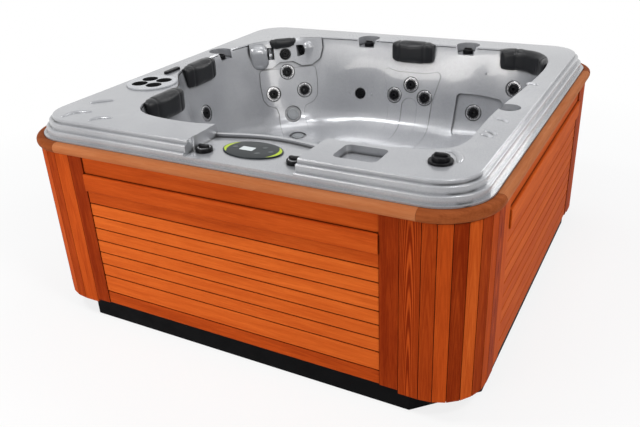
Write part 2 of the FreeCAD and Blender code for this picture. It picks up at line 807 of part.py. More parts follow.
def straight_path(middle, way, length):
    """Five sections along a straight pillow, drawn in at both ends."""
    tangent = way.cross(UP)
    half = length / 2
    full = half * pillow_full_part
    shares = ((-half, pillow_end_taper), (-full, 1.0), (0.0, pillow_crown), (full, 1.0),
              (half, pillow_end_taper))
    return [(middle + tangent * at, way, share) for at, share in shares]


def corner_path(middle, radius):
    """Seven sections round the right back corner, drawn in at both ends."""
    shares = (pillow_end_taper, 1.0, 1.0, pillow_crown, 1.0, 1.0, pillow_end_taper)
    path = []
    for i, share in enumerate(shares):
        angle = math.radians(corner_pillow_start + corner_pillow_sweep * i / (len(shares) - 1))
        way = V(-math.cos(angle), -math.sin(angle), 0)
        path.append((V(*middle, 0) - way * radius, way, share))
    return path


# Filter
def filter_lid():
    """Round lid that rests on the deck, with four wells for cups in its plug."""
    plug = filter_bore - filter_clearance
    depth = cup_depth + cup_floor - filter_lid_flange
    flange = Part.makeCylinder(filter_lid_radius, filter_lid_flange, V(0, 0, lid_lift))
    top_edges = [e for e in flange.Edges if e.BoundBox.ZMin > filter_lid_flange / 2]
    flange = flange.makeFillet(bezel_round, top_edges)
    lid = flange.fuse(Part.makeCylinder(plug, depth + lid_lift + bezel_round, V(0, 0, -depth)))
    top = lid_lift + filter_lid_flange
    for i in range(cup_count):
        angle = math.radians(cup_turn + 360 * i / cup_count)
        spot = V(math.cos(angle), math.sin(angle), 0) * cup_spread
        lid = lid.cut(Part.makeCylinder(cup_radius, cup_depth, spot + UP * (top - cup_depth)))
    return lid


def filter_housing():
    """Canister hung under the deck: a wide throat for the lid, a narrow tube for the cartridge."""
    under = -shell_wall
    throat = filter_bore + filter_wall
    canister = cartridge_radius + cartridge_clearance
    outer = Part.makeCylinder(throat, throat_depth, V(0, 0, under - throat_depth))
    outer = outer.fuse([
        Part.makeCylinder(throat + filter_collar, filter_wall, V(0, 0, under - filter_wall)),
        Part.makeCylinder(canister + filter_wall, filter_depth, V(0, 0, under - filter_depth))])
    return outer.cut([
        Part.makeCylinder(filter_bore, throat_depth - filter_wall,
                          V(0, 0, under - throat_depth + filter_wall)),
        Part.makeCylinder(canister, filter_depth - filter_wall, V(0, 0, under - filter_depth + filter_wall))])


def filter_cartridge():
    """Pleated cartridge round a hollow core, standing on the housing's floor."""
    outline = []
    for i in range(2 * pleat_count):
        radius = cartridge_radius - (pleat_depth if i % 2 else 0)
        angle = math.pi * i / pleat_count
        outline.append((radius * math.cos(angle), radius * math.sin(angle)))
    pleats = prism(outline, 0, cartridge_height)
    ends = [Part.makeCylinder(cartridge_radius, filter_wall, V(0, 0, z))
            for z in (0, cartridge_height - filter_wall)]
    return pleats.fuse(ends).cut(Part.makeCylinder(cartridge_core, cartridge_height))


# Control panel
def oval(length, width, z0, z1):
    ring = Part.Ellipse(V(0, 0, z0), length / 2, width / 2).toShape()
    return Part.Face(Part.Wire([ring])).extrude(UP * (z1 - z0))


def control_panel():
    """Oval plate on the ledge with wells for the keys and the display, and a body below it."""
    plate = oval(control_length, control_width, 0, control_thick)
    top_edges = [e for e in plate.Edges if e.BoundBox.ZMin > control_thick / 2]
    plate = plate.makeFillet(control_thick / 3, top_edges)
    length, width, depth = control_body
    wells = [Part.makeCylinder(key_radius + key_clearance, control_thick,
                               V(x, y, control_thick - key_thick - key_travel)) for x, y in key_places]
    long, wide = display_size
    wells.append(box(display_x - long / 2, display_x + long / 2, -wide / 2, wide / 2,
                     control_thick - display_depth, 2 * control_thick))
    body = box(-length / 2, length / 2, -width / 2, width / 2, -depth, control_thick / 2)
    return plate.fuse(body).cut(wells)


def key_cap():
    bottom = control_thick + key_proud - key_thick
    cap = Part.makeCylinder(key_radius, key_thick, V(0, 0, bottom))
    return cap.makeFillet(key_proud, [e for e in cap.Edges if e.BoundBox.ZMin > bottom + key_thick / 2])


def display_window():
    long, wide = display_size
    return box(display_x - long / 2, display_x + long / 2, -wide / 2, wide / 2,
               control_thick - display_depth, control_thick + key_proud / 2)


# Cabinet
def rail_section():
    """Section of the rail in the XZ plane, with its outer edges rounded."""
    inner = rail_half - rail_width
    r = rail_round
    k = r * (1 - math.sqrt(0.5))
    p = [V(x, 0, z) for x, z in (
        (inner, rail_bottom), (rail_half - r, rail_bottom), (rail_half - k, rail_bottom + k),
        (rail_half, rail_bottom + r), (rail_half, lip_height - r), (rail_half - k, lip_height - k),
        (rail_half - r, lip_height), (inner, lip_height))]
    return Part.Face(Part.Wire([
        Part.LineSegment(p[0], p[1]).toShape(), Part.Arc(p[1], p[2], p[3]).toShape(),
        Part.LineSegment(p[3], p[4]).toShape(), Part.Arc(p[4], p[5], p[6]).toShape(),
        Part.LineSegment(p[6], p[7]).toShape(), Part.LineSegment(p[7], p[0]).toShape()]))


def rail_boards():
    run = rail_half - rail_corner - board_gap / 2
    section = rail_section()
    section.translate(V(0, -run, 0))
    board = section.extrude(V(0, 2 * run, 0))
    return [turned(board, i) for i in range(4)]


def rail_corners():
    run = rail_half - rail_corner
    section = rail_section()
    section.translate(V(0, run, 0))
    block = section.revolve(V(run, run, 0), UP, 90)
    return [turned(block, i) for i in range(4)]


def corner_staves():
    """Staves round the right back corner and a flat board beside them on each face, copied to all corners."""
    run = clad_half - stave_corner
    z0 = cladding_bottom - stave_drop
    step = math.radians(90 / stave_count)
    shave = board_gap / 2 / stave_corner
    boards = []
    for i in range(stave_count):
        a = i * step + shave
        b = (i + 1) * step - shave
        outline = [(run + r * math.cos(t), run + r * math.sin(t)) for r, t in (
            (stave_corner, a), (stave_corner, b),
            (stave_corner - cladding_thick, b), (stave_corner - cladding_thick, a))]
        boards.append(prism(outline, z0, panel_top))
    flat = box(frame_half, clad_half, panel_half + board_gap, run - board_gap / 2, z0, panel_top)
    boards += [flat, flat.mirror(V(0, 0, 0), V(1, -1, 0))]
    return [turned(board, i) for i in range(4) for board in boards]


def slat(x0, x1, z0, z1, face, back):
    """Board along X with its two outer edges chamfered."""
    c = slat_chamfer
    section = ((back, z0), (face + c, z0), (face, z0 + c), (face, z1 - c), (face + c, z1), (back, z1))
    p = [V(x0, y, z) for y, z in section]
    return Part.Face(Part.makePolygon(p + p[:1])).extrude(V(x1 - x0, 0, 0))


def panel_frame(stand_off):
    """Stiles, top board, raised board and foot boards of the front panel."""
    back = -frame_half - stand_off
    inner = panel_half - stile_width
    side = inner - board_gap
    slats_bottom = raised_top - raised_height - slat_count * slat_pitch
    mid = cladding_bottom + foot_board
    stiles = [box(x0, x0 + stile_width, -clad_half, back, cladding_bottom, panel_top)
              for x0 in (-panel_half, inner)]
    return stiles + [
        box(-side, side, -clad_half + top_board_setback, back, raised_top + board_gap, panel_top),
        slat(-side, side, raised_top - raised_height, raised_top, -clad_half - raised_proud, back),
        slat(-side, side, mid + slat_gap / 2, slats_bottom - slat_gap / 2, -clad_half + slat_setback, back),
        slat(-side, side, cladding_bottom, mid - slat_gap / 2, -clad_half + slat_setback, back)]


def panel_slats(stand_off):
    side = panel_half - stile_width - board_gap
    top = raised_top - raised_height
    return [slat(-side, side, top - (i + 1) * slat_pitch + slat_gap / 2, top - i * slat_pitch - slat_gap / 2,
                 -clad_half + slat_setback, -frame_half - stand_off) for i in range(slat_count)]


def panel_battens(stand_off):
    """Uprights that tie the access panel's boards together from behind."""
    back = -frame_half - stand_off
    half = panel_half - stile_width / 2
    z1 = top_plate_bottom - panel_clearance
    z0 = cladding_bottom + timber_thick + panel_clearance
    return [box(x - batten_width / 2, x + batten_width / 2, back, back + batten_thick, z0, z1)
            for x in (-half + batten_width, 0, half - batten_width)]


# Base and frame
def base_outline(inset):
    half = base_half - inset
    cut = base_chamfer - inset * (2 - math.sqrt(2))
    run = half - cut
    return [(half, -run), (half, run), (run, half), (-run, half),
            (-half, run), (-half, -run), (-run, -half), (run, -half)]


def base_pan():
    """Moulded tray with cut corners and an inward flange that carries the frame."""
    pan = prism(base_outline(0), 0, base_height)
    return pan.cut([prism(base_outline(base_wall), base_wall, base_height - base_wall),
                    prism(base_outline(base_flange), base_wall, base_height)])


def bottom_plates():
    outer = frame_half
    inner = outer - timber_width
    z1 = base_height + timber_thick
    run = clad_half - stave_corner
    return [turned(box(-run, run, -outer, -inner, base_height, z1), i) for i in range(4)]


def frame_posts():
    z0 = base_height + timber_thick
    boards = []
    for i in range(4):
        middles = [-post_reach, post_reach]
        if i > 0:
            middles += [-post_middle, post_middle]
        for x in middles:
            boards.append(turned(box(x - timber_width / 2, x + timber_width / 2, -frame_half,
                                     -frame_half + timber_thick, z0, top_plate_bottom), i))
    return boards


def top_plates():
    run = clad_half - stave_corner
    plate = box(-run, run, -frame_half, -frame_half + timber_thick, top_plate_bottom, rail_bottom)
    return [turned(plate, i) for i in range(4)]


def bowl_supports():
    top = floor_height - shell_wall
    half = support_size / 2
    return [box(x - half, x + half, y - half, y + half, base_wall, top)
            for x in (-support_spread, support_spread) for y in (-support_spread, support_spread)]


# Equipment
def rod(radius, start, end):
    way = V(*end) - V(*start)
    return Part.makeCylinder(radius, way.Length, V(*start), way)


def pipe(points, radius):
    """Pipe of straight runs with a ball at each elbow."""
    runs = [rod(radius, a, b) for a, b in zip(points, points[1:])]
    balls = [Part.makeSphere(radius, V(*p)) for p in points[1:-1]]
    return runs[0].multiFuse(runs[1:] + balls)


wet_start = pump_place[0] + motor_length / 2
wet_end = wet_start + wet_end_length
wet_middle = wet_start + wet_end_length / 2
outlet_top = pump_axis_height + wet_end_radius + pipe_radius
box_top = base_wall + box_size[2]
heater_axis = box_top + heater_radius + seat_gap
heater_start = box_place[0] - heater_length / 2
heater_end = box_place[0] + heater_length / 2


def pump_motor():
    """Motor barrel with cooling ribs and a foot on the base."""
    x, y = pump_place
    z = pump_axis_height
    motor = rod(motor_radius - rib_step, (x - motor_length / 2, y, z), (wet_start, y, z))
    pitch = motor_length / (motor_ribs + 1)
    ribs = [rod(motor_radius, (x - motor_length / 2 + (i + 0.75) * pitch, y, z),
                (x - motor_length / 2 + (i + 1.25) * pitch, y, z)) for i in range(motor_ribs)]
    long, wide = motor_foot
    foot = box(x - long / 2, x + long / 2, y - wide / 2, y + wide / 2, base_wall, z)
    return motor.multiFuse(ribs + [foot])


def pump_wet_end():
    """Volute with its suction in front and its outlet on top."""
    y = pump_place[1]
    z = pump_axis_height
    body = rod(wet_end_radius, (wet_start, y, z), (wet_end - pipe_radius, y, z))
    suction = rod(union_radius, (wet_middle, y, z), (wet_end, y, z))
    return body.multiFuse([suction, rod(union_radius, (wet_middle, y, z), (wet_middle, y, outlet_top))])


def control_box():
    x, y = box_place
    long, wide, tall = box_size
    block = box(x - long / 2, x + long / 2, y - wide / 2, y + wide / 2, base_wall, box_top)
    return block.makeFillet(box_round, [e for e in block.Edges if e.BoundBox.ZLength > tall / 2])


def heater_tube():
    """Steel tube with a union nut at each end, lying on the control box."""
    x, y = box_place
    tube = rod(heater_radius - rib_step, (heater_start, y, heater_axis), (heater_end, y, heater_axis))
    saddle = rod(heater_radius, (x - heater_nut, y, heater_axis), (x + heater_nut, y, heater_axis))
    nuts = [rod(heater_radius + rib_step, (x, y, heater_axis), (x + heater_nut, y, heater_axis))
            for x in (heater_start, heater_end - heater_nut)]
    return tube.multiFuse([saddle] + nuts)


def plumbing():
    """Pump to heater, heater to the jet manifold, and bowl to pump."""
    y = pump_place[1]
    riser_x = heater_end + riser_offset
    feed = pipe([(wet_middle, y, outlet_top), (wet_middle, y, heater_axis), (heater_start, y, heater_axis)],
                pipe_radius)
    riser = pipe([(heater_end, y, heater_axis), (riser_x, y, heater_axis), (riser_x, y, manifold_top)],
                 pipe_radius)
    for i in range(manifold_ports):
        z = manifold_top - (i + 1) * port_length
        riser = riser.fuse(rod(port_radius, (riser_x, y, z), (riser_x + port_length, y, z)))
    floor_x, floor_y = floor_suction
    suction = pipe([(wet_end, y, pump_axis_height), (floor_x, y, pump_axis_height),
                    (floor_x, floor_y, pump_axis_height), (floor_x, floor_y, suction_under)], pipe_radius)
    return [feed, riser, suction]


# Write the nodes
shell = make_shell()
save("shell", shell)
save("base_pan", base_pan())
save("bowl_supports", bowl_supports())
save("frame_bottom_plates", bottom_plates())
save("frame_posts", frame_posts())
save("frame_top_plates", top_plates())
save("top_rail_boards", rail_boards())
save("top_rail_corners", rail_corners())
save("corner_staves", corner_staves())
fixed_panel = panel_frame(0) + panel_slats(0)
for quarter, side in ((1, "right"), (2, "back"), (3, "left")):
    save(side + "_panel", [turned(board, quarter) for board in fixed_panel])
save("access_panel_frame", panel_frame(panel_clearance))
save("access_panel_slats", panel_slats(panel_clearance))
save("access_panel_battens", panel_battens(panel_clearance))

room = bowl_solid(surface)
pillow_top = deck_height + pillow_rise
left_edge = -deck_half + left_deck
filter_edge = -deck_half + filter_deck
back_edge = deck_half - back_deck
pillows = {
    "pillow_front_left": (V(filter_edge, front_pillow_y, 0), V(1, 0, 0), pillow_length),
    "pillow_left": (V(left_edge, left_pillow_y, 0), V(1, 0, 0), pillow_length),
    "pillow_back": (V(back_pillow_x, back_edge, 0), V(0, -1, 0), back_pillow_length),
}
for name, (middle, way, length) in pillows.items():
    save(name, pillow(straight_path(middle, way, length), pillow_top, pillow_height, room, way * pillow_gap))
chair_path = straight_path(V(*chair_edge, 0), chair_out * -1, chair_pillow_length)
chair_normal = jet_seats["chair_top"][0][1]
chair_pillow = pillow(chair_path, pillow_top, chair_pillow_height, room,
                      chair_normal * collar_proud - chair_out * pillow_gap)
save("pillow_corner", chair_pillow.cut([cheek(side, -pillow_gap) for side in (-1, 1)]))
corner_way = V(-1, -1, 0).normalize()
save("pillow_right_corner", pillow(corner_path(corner_pillow_middle, corner_pillow_radius), pillow_top,
                                   pillow_height, room, corner_way * pillow_gap))

save("filter_lid", set_down(filter_lid(), filter_centre, deck_height))
save("filter_housing", set_down(filter_housing(), filter_centre, deck_height))
cartridge_bottom = deck_height - shell_wall - filter_depth + filter_wall
save("filter_cartridge", set_down(filter_cartridge(), filter_centre, cartridge_bottom))

control_place = (control_x, control_y)
save("control_panel", set_down(control_panel(), control_place, ledge_height))
save("display_window", set_down(display_window(), control_place, ledge_height))
key_names = ("jets_key", "warmer_key", "cooler_key", "light_key")
for name, (x, y) in zip(key_names, key_places):
    save(name, set_down(key_cap(), (control_x + x, control_y + y), ledge_height))

for side, place in zip(("left", "right"), air_knob_places):
    save("air_knob_" + side,
         set_down(knob(air_knob_radius, air_knob_height, air_grip_height), place, ledge_height))
save("air_valve_bodies",
     [set_down(valve(valve_radius, valve_length), place, ledge_height) for place in air_knob_places])
for side, place in zip(("left", "back_left", "back_right"), rim_knob_places):
    save("rim_knob_" + side,
         set_down(knob(rim_knob_radius, rim_knob_height, rim_grip_height), place, rim_floor))
save("rim_valve_bodies",
     [set_down(valve(valve_radius, valve_length), place, rim_floor) for place in rim_knob_places])
diverter_seat = deck_height + diverter_flange_thick
save("diverter_knob", set_down(knob(diverter_knob_radius, diverter_knob_height, diverter_grip_height),
                               diverter_place, diverter_seat))
diverter_body = Part.makeCylinder(diverter_flange, diverter_flange_thick)
diverter_edges = [e for e in diverter_body.Edges if e.BoundBox.ZMin > bezel_round]
diverter_body = diverter_body.makeFillet(bezel_round, diverter_edges)
diverter_body = diverter_body.fuse(Part.makeCylinder(diverter_body_radius, diverter_body_length,
                                                     V(0, 0, -diverter_body_length)))
stem_well = stem_length + seat_gap
diverter_body = diverter_body.cut(Part.makeCylinder(stem_radius + stem_clearance, stem_well,
                                                    V(0, 0, diverter_flange_thick - stem_well)))
save("diverter_valve_body", set_down(diverter_body, diverter_place, deck_height))
waterfall = round_box(waterfall_place, (waterfall_width, waterfall_length), waterfall_round,
                      deck_height, deck_height + waterfall_height)
waterfall_edges = [e for e in waterfall.Edges if e.BoundBox.ZMin > deck_height + bezel_round]
waterfall = waterfall.makeFillet(bezel_round, waterfall_edges)
save("waterfall_bar", waterfall)

save("jet_bezels", [along(jet_bezel(size), *sunk(seat, pocket_depth)) for seat, size in jet_seats.values()])
save("jet_bodies", [along(jet_body(size), *sunk(seat, pocket_depth)) for seat, size in jet_seats.values()])
for name, (seat, size) in jet_seats.items():
    save("jet_nozzle_" + name, along(jet_nozzle(size), *sunk(seat, pocket_depth)))
    print("jet", name, [tuple(round(c, 5) for c in v) for v in sunk(seat, pocket_depth)])
save("disc_covers", [along(disc_cover(), *sunk(seat, pocket_depth)) for seat in disc_seats])
save("suction_covers", [along(suction_cover(), *sunk(seat, pocket_depth)) for seat in suction_seats])

save("pump_motor", pump_motor())
save("pump_wet_end", pump_wet_end())
save("control_box", control_box())
save("heater_tube", heater_tube())
save("plumbing", plumbing())
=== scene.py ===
import bpy
import bmesh
import json
import math
from mathutils import Matrix, Vector


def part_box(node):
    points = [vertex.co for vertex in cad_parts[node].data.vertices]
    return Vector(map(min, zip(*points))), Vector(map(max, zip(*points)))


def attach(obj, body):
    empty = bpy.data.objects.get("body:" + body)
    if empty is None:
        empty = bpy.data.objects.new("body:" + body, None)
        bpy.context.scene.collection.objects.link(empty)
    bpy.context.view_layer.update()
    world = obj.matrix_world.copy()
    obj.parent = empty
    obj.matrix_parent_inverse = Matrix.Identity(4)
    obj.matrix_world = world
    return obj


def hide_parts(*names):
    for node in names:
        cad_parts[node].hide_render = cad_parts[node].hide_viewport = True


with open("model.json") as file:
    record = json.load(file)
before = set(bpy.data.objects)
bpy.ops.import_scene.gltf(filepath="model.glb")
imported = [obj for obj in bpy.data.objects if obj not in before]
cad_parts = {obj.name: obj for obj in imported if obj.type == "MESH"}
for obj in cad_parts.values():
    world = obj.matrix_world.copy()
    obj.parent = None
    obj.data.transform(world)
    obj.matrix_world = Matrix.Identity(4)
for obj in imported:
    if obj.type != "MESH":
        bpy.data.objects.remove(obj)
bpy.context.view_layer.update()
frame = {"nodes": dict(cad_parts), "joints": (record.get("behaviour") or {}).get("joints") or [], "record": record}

scene = bpy.context.scene

# Camera and studio. The photograph looks down on the front right corner of the tub,
# with plain soft light from above and a white ground.
eye = Vector((1.5042, -2.915, 1.8518))
gaze = Vector((-0.43547, 0.78264, -0.44479))
roll = Matrix.Rotation(math.radians(-2.694), 3, "Z").to_quaternion()
lens_data = bpy.data.cameras.new("photo_camera")
lens_data.sensor_width = 36.0
lens_data.lens = 39.54
lens_data.clip_start = 0.05
camera = bpy.data.objects.new("photo_camera", lens_data)
scene.collection.objects.link(camera)
camera.location = eye
camera.rotation_mode = "QUATERNION"
camera.rotation_quaternion = gaze.to_track_quat("-Z", "Y") @ roll
scene.camera = camera
scene.view_settings.view_transform = "Standard"


def add(tree, kind, **settings):
    """New shader node; a setting is a property or, where the node has none of that name, an input."""
    made = tree.nodes.new("ShaderNode" + kind)
    for key, value in settings.items():
        if hasattr(made, key):
            setattr(made, key, value)
        else:
            made.inputs[key.replace("_", " ")].default_value = value
    return made


def combine(tree, operation, *values):
    """Result of a math node on sockets or plain numbers."""
    made = add(tree, "Math", operation=operation)
    for side, value in zip(made.inputs, values):
        if isinstance(value, float):
            side.default_value = value
        else:
            tree.links.new(value, side)
    return made.outputs[0]


def finish(name, color, rough, **more):
    """Material with one Principled shader; returns the material, its tree and the shader."""
    made = bpy.data.materials.new(name)
    made.use_nodes = True
    tree = made.node_tree
    shader = tree.nodes["Principled BSDF"]
    shader.inputs["Base Color"].default_value = (*color, 1)
    shader.inputs["Roughness"].default_value = rough
    for key, value in more.items():
        shader.inputs[key.replace("_", " ")].default_value = value
    return made, tree, shader


def seen_directly(tree):
    """1 for rays from the camera, from mirror reflections and through clear pieces."""
    path = add(tree, "LightPath")
    straight = combine(tree, "MAXIMUM", path.outputs["Is Camera Ray"], path.outputs["Is Transmission Ray"])
    return combine(tree, "MAXIMUM", straight, path.outputs["Is Glossy Ray"])


def piece_of(name, shape, look):
    """New piece at the origin that holds a finished shape in one look."""
    mesh = bpy.data.meshes.new(name)
    shape.to_mesh(mesh)
    shape.free()
    mesh.materials.append(look)
    made = bpy.data.objects.new(name, mesh)
    scene.collection.objects.link(made)
    return made


world = bpy.data.worlds.new("studio_air")
scene.world = world
world.use_nodes = True
air = world.node_tree
ground = air.nodes["Background"]
ground.inputs["Color"].default_value = (0.86, 0.9, 0.96, 1)
ground.inputs["Strength"].default_value = 0.34
white = add(air, "Background", Color=(1, 1, 1, 1), Strength=1.0)
mix = add(air, "MixShader")
air.links.new(seen_directly(air), mix.inputs[0])
air.links.new(ground.outputs[0], mix.inputs[1])
air.links.new(white.outputs[0], mix.inputs[2])
air.links.new(mix.outputs[0], air.nodes["World Output"].inputs["Surface"])


def lamp(name, place, aim, size, power, color=(1, 1, 1), spread=180.0):
    """Rectangular soft lamp that points at a place."""
    data = bpy.data.lights.new(name, "AREA")
    data.shape = "RECTANGLE"
    data.size, data.size_y = size
    data.energy = power
    data.color = color
    data.spread = math.radians(spread)
    made = bpy.data.objects.new(name, data)
    made.location = place
    made.rotation_mode = "QUATERNION"
    made.rotation_quaternion = (Vector(aim) - Vector(place)).to_track_quat("-Z", "Y")
    scene.collection.objects.link(made)


warm = (1, 0.97, 0.93)
lamp("overhead_softbox", (0.2, 1.2, 4.0), (0, 0.1, 0.6), (1.8, 1.1), 26)
lamp("bowl_softbox", (0.3, -0.3, 3.0), (0.1, 0.15, 0.4), (0.7, 0.7), 3, spread=40.0)
lamp("front_softbox", (-1.8, -4.6, 1.0), (0, -0.6, 0.45), (2.6, 1.2), 86, warm)
lamp("right_softbox", (5.0, -1.8, 2.2), (0.9, -0.4, 0.5), (1.8, 2.2), 47, warm)
lamp("high_left_softbox", (-2.0, -1.9, 4.3), (0, 0.1, 0.7), (1.3, 0.9), 72)
lamp("high_right_softbox", (2.6, -1.8, 3.6), (-0.6, 0.5, 0.6), (0.9, 0.6), 46)
lamp("back_right_softbox", (2.6, 4.0, 2.9), (0.6, 0.2, 0.9), (1.4, 0.8), 40)

floor_half = 14
floor_look, floor_tree, floor_shader = finish("studio_white", (0.9, 0.9, 0.9), 0.9,
                                              Specular_IOR_Level=0.0)
glow = add(floor_tree, "Emission", Color=(1, 1, 1, 1), Strength=1.0)
floor_place = add(floor_tree, "TexCoord")
floor_reach = add(floor_tree, "VectorMath", operation="LENGTH")
floor_fade = add(floor_tree, "MapRange", From_Min=1.5, From_Max=3.4, To_Min=0.8, To_Max=1.0)
floor_mix = add(floor_tree, "MixShader")
floor_tree.links.new(floor_place.outputs["Object"], floor_reach.inputs[0])
floor_tree.links.new(floor_reach.outputs["Value"], floor_fade.inputs["Value"])
floor_share = combine(floor_tree, "MULTIPLY", floor_fade.outputs[0], seen_directly(floor_tree))
floor_tree.links.new(floor_share, floor_mix.inputs[0])
floor_tree.links.new(floor_shader.outputs[0], floor_mix.inputs[1])
floor_tree.links.new(glow.outputs[0], floor_mix.inputs[2])
floor_tree.links.new(floor_mix.outputs[0], floor_tree.nodes["Material Output"].inputs["Surface"])
shape = bmesh.new()
bmesh.ops.create_grid(shape, x_segments=1, y_segments=1, size=floor_half)
piece_of("studio_floor", shape, floor_look)

# Base pan: a moulded black tray with cut corners that keeps the cabinet off the ground.
# It is textured plastic, and the timber frame stands on it.
base_edge = 0.002
record = frame["record"]
body_of_node = {node: body for body, nodes in record["behaviour"]["bodies"].items() for node in nodes}


def speckle(tree, scale, low, high, detail=6.0, stretch=(1, 1, 1)):
    """Noise on the piece's own coordinates, spread between two values."""
    place = add(tree, "TexCoord")
    turn = add(tree, "Mapping", Scale=stretch)
    grain = add(tree, "TexNoise", Scale=scale, Detail=detail, Roughness=0.6)
    spread = add(tree, "MapRange", From_Min=0.3, From_Max=0.7, To_Min=low, To_Max=high)
    tree.links.new(place.outputs["Object"], turn.inputs["Vector"])
    tree.links.new(turn.outputs[0], grain.inputs["Vector"])
    tree.links.new(grain.outputs[0], spread.inputs["Value"])
    return spread.outputs[0]


def roughen(tree, shader, height, strength, distance):
    """Bump on a shader from a height."""
    bump = add(tree, "Bump", Strength=strength, Distance=distance)
    tree.links.new(height, bump.inputs["Height"])
    tree.links.new(bump.outputs[0], shader.inputs["Normal"])


def moulded_plastic(name, color, rough, grain=900.0, depth=0.00015, **more):
    """Moulded plastic with a fine spark-eroded grain and slightly uneven gloss."""
    made, tree, shader = finish(name, color, rough, **more)
    tree.links.new(speckle(tree, 14.0, rough * 0.8, rough * 1.25), shader.inputs["Roughness"])
    roughen(tree, shader, speckle(tree, grain, 0.0, 1.0, 2.0), 0.35, depth)
    return made


def dress(node, look, edge=0.0, crease=32.0):
    """Piece that stands for a CAD node: its mesh merged and smoothed, with its edges eased."""
    mesh = frame["nodes"][node].data.copy()
    shape = bmesh.new()
    shape.from_mesh(mesh)
    bmesh.ops.remove_doubles(shape, verts=shape.verts, dist=1e-5)
    for face in shape.faces:
        face.smooth = True
    for side in shape.edges:
        side.smooth = side.calc_face_angle(0.0) < math.radians(crease)
    shape.to_mesh(mesh)
    shape.free()
    mesh.materials.clear()
    mesh.materials.append(look)
    made = bpy.data.objects.new(node + "_piece", mesh)
    scene.collection.objects.link(made)
    if edge:
        ease = made.modifiers.new("eased_edges", "BEVEL")
        ease.width = edge
        ease.segments = 2
        ease.limit_method = "ANGLE"
        ease.angle_limit = math.radians(40)
        ease.harden_normals = True
    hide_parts(node)
    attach(made, body_of_node[node])
    return made


textured_black = moulded_plastic("textured_black", (0.004, 0.004, 0.0045), 0.6, Specular_IOR_Level=0.03)
dress("base_pan", textured_black, base_edge)

# Inside of the cabinet: sawn timber frame, foam blocks under the bowl, and the pump,
# heater, control box and pipes that stand on the base behind the access panel.


def coat(node, look):
    """CAD node that stays as it is, with a better material."""
    data = frame["nodes"][node].data
    data.materials.clear()
    data.materials.append(look)


sawn, sawn_tree, sawn_shader = finish("sawn_timber", (0.5, 0.36, 0.2), 0.75)
sawn_tone = add(sawn_tree, "ValToRGB")
sawn_tone.color_ramp.elements[0].color = (0.42, 0.28, 0.14, 1)
sawn_tone.color_ramp.elements[1].color = (0.6, 0.45, 0.27, 1)
sawn_tree.links.new(speckle(sawn_tree, 5.0, 0.0, 1.0, 8.0, (1, 12, 12)), sawn_tone.inputs[0])
sawn_tree.links.new(sawn_tone.outputs[0], sawn_shader.inputs["Base Color"])
for node in ("frame_bottom_plates", "frame_posts", "frame_top_plates", "access_panel_battens"):
    coat(node, sawn)
coat("bowl_supports", moulded_plastic("foam_white", (0.75, 0.75, 0.72), 0.9, 250.0, 0.001))
pipe_white = moulded_plastic("pipe_white", (0.8, 0.8, 0.78), 0.35)
for node in ("plumbing", "jet_bodies", "air_valve_bodies", "rim_valve_bodies", "filter_housing"):
    coat(node, pipe_white)
coat("filter_cartridge", moulded_plastic("filter_paper", (0.82, 0.84, 0.87), 0.9, 400.0, 0.0005))
coat("pump_motor", moulded_plastic("motor_paint", (0.03, 0.03, 0.033), 0.45))
coat("pump_wet_end", moulded_plastic("pump_black", (0.02, 0.02, 0.02), 0.4))
coat("control_box", moulded_plastic("box_grey", (0.25, 0.26, 0.27), 0.5))
steel, steel_tree, steel_shader = finish("heater_steel", (0.62, 0.63, 0.64), 0.28, Metallic=1.0)
brushed = speckle(steel_tree, 30.0, 0.2, 0.4, 4.0, (1, 40, 40))
steel_tree.links.new(brushed, steel_shader.inputs["Roughness"])
coat("heater_tube", steel)

# Cabinet cladding: oiled cedar, as staves round the corners and framed panels of slats between them.
# Each board has its own tone, from pale orange to red brown, with fine straight grain along its length,
# and some boards are strongly figured.
cedar_tones = ((0.68, 0.145, 0.022), (0.44, 0.065, 0.008), (0.19, 0.018, 0.002))
grain_across = (1.3, 14, 22)
grain_deep = (14, 1.3, 22)
grain_upright = (18, 18, 1.3)
heart_offset = 0.3
heart_pull = 0.4
grain_shift = 37.0
panel_edge = 0.0012
stave_edge = 0.0015
stile_inner = 0.667
top_board_from = 0.62
foot_board_to = 0.17
corner_run = 0.818
stave_turn = math.radians(15)
stave_tones = (0.66, 0.5, 0.88, 0.36, 0.72, 0.5)


def board_tones(piece, pick):
    """Gives each board its tone, from 0, pale, to 1, dark, its figure, and places from its own middle."""
    shape = bmesh.new()
    shape.from_mesh(piece.data)
    tone = shape.verts.layers.float.new("tone")
    figure = shape.verts.layers.float.new("figure")
    own_place = shape.verts.layers.float_vector.new("own_place")
    waiting = dict.fromkeys(shape.verts)
    while waiting:
        board = [waiting.popitem()[0]]
        for vert in board:
            for side in vert.link_edges:
                other = side.other_vert(vert)
                if other in waiting:
                    del waiting[other]
                    board.append(other)
        middle = sum((vert.co for vert in board), Vector()) / len(board)
        values = pick(middle)
        for vert in board:
            vert[tone], vert[figure] = values
            vert[own_place] = vert.co - middle
    shape.to_mesh(piece.data)
    shape.free()


def chance(middle):
    """Steady stand-in for the chance mix of boards, from 0 to 1."""
    return (math.sin(middle.x * 127.1 + middle.y * 311.7 + middle.z * 74.7) * 43758.5453) % 1.0


def crevice(tree, reach, low, high, dark):
    """Shade of gaps and inner corners: dark where the surface is hemmed in, 1 in the open."""
    near = add(tree, "AmbientOcclusion", Distance=reach, samples=8)
    depth = add(tree, "MapRange", From_Min=low, From_Max=high, To_Min=dark, To_Max=1.0)
    tree.links.new(near.outputs["AO"], depth.inputs["Value"])
    return depth.outputs[0]


